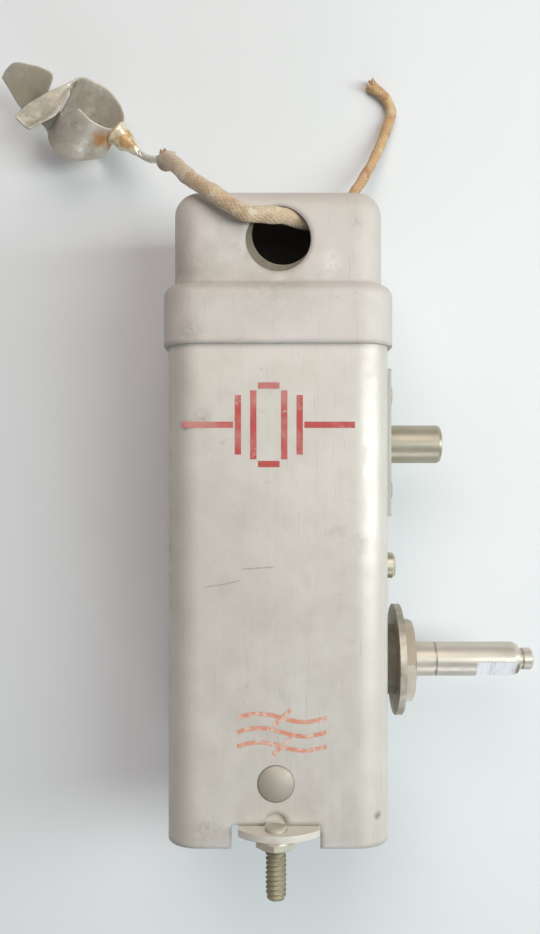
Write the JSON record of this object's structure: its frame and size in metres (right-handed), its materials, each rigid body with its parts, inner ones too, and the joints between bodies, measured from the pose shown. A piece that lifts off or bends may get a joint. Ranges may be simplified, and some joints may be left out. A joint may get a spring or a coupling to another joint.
{
  "type": "crystal filter unit",
  "caption": "Square aluminium shield can of a radio's crystal filter, with pressed cap, side control shafts, chassis stud, grid clip lead and the filter's works inside.",
  "frame": {"origin": "middle of the can's flat back face, on which the unit lies", "axes": "+X along the control shafts, away from the can; +Y from the open end towards the cap; +Z out of the front face"},
  "size_m": [0.103, 0.1527, 0.0442],
  "materials": {
    "can_aluminium": "satin, aged, lightly scratched",
    "cap_aluminium": "dull drawn sheet with stains",
    "plate_aluminium": "satin sheet",
    "vane_aluminium": "bare sheet",
    "selector_aluminium": "matte turned",
    "rivet_aluminium": "satin",
    "plated_steel": "dull plated",
    "washer_steel": "plated, slightly tarnished",
    "screw_steel": "plated, yellowed",
    "nut_nickel": "nickel plate",
    "shaft_nickel": "nickel plate, polished",
    "stud_brass": "dull, tarnished",
    "turned_brass": "turned",
    "tinned_brass": "tinned",
    "clip_tin": "tinned sheet, stained",
    "solder": "solder with flux stain",
    "fibre": "vulcanised fibre",
    "phenolic": "paper phenolic",
    "moulded_brown": "moulded",
    "black_bakelite": "moulded",
    "ceramic": "unglazed",
    "quartz": "ground crystal",
    "coil_wire": "silk-covered wire, waxed",
    "lead_braid": "aged cloth covering",
    "lead_braid_thin": "aged cloth covering"
  },
  "bodies": {
    "unit": {"shield_can": "can_aluminium", "top_cap": "cap_aluminium", "hole_liner": "fibre", "foot_bracket": "plated_steel", "foot_rivet": "rivet_aluminium", "foot_stud": "stud_brass", "side_plate": "plate_aluminium", "plate_rivets": "rivet_aluminium", "frame_screw": "screw_steel", "frame_nut": "screw_steel", "partition": "plate_aluminium", "base_board": "phenolic", "terminal_lugs": "tinned_brass", "board_posts": "plate_aluminium", "top_board": "phenolic", "coil_form": "phenolic", "primary_winding": "coil_wire", "secondary_winding": "coil_wire", "mica_capacitor": "moulded_brown", "load_resistor": "moulded_brown", "phasing_spacer": "fibre", "phasing_washer": "washer_steel", "phasing_nut": "nut_nickel", "phasing_liner": "fibre", "phasing_bushing": "turned_brass", "phasing_plate": "ceramic", "phasing_stator": "vane_aluminium", "switch_bushing": "turned_brass", "switch_index": "plated_steel", "switch_posts": "plate_aluminium", "switch_wafer": "phenolic", "switch_contacts": "tinned_brass", "crystal_socket": "phenolic", "crystal_base": "black_bakelite", "crystal_cover": "black_bakelite", "crystal_pins": "turned_brass", "lower_electrode": "turned_brass", "quartz_plate": "quartz", "upper_electrode": "turned_brass", "pressure_spring": "plated_steel", "lead_terminals": "tinned_brass", "grid_lead": "lead_braid", "grid_wire": "tinned_brass", "grid_clip": "clip_tin", "clip_solder": "solder", "rear_lead": "lead_braid_thin"},
    "phasing_control": {"phasing_shaft": "shaft_nickel", "phasing_rotor": "vane_aluminium"},
    "selector_control": {"selector_shaft": "selector_aluminium", "detent_arm": "turned_brass", "switch_rotor": "fibre"}
  },
  "joints": [
    {"name": "phasing_turn", "type": "hinge", "parent": "unit", "child": "phasing_control", "pos_m": [0, -0.0146, 0.01905], "axis": [1, 0, 0], "continuous": true},
    {"name": "selector_turn", "type": "hinge", "parent": "unit", "child": "selector_control", "pos_m": [0, 0.026, 0.01905], "axis": [1, 0, 0], "range_deg": [0, 120]}
  ]
}
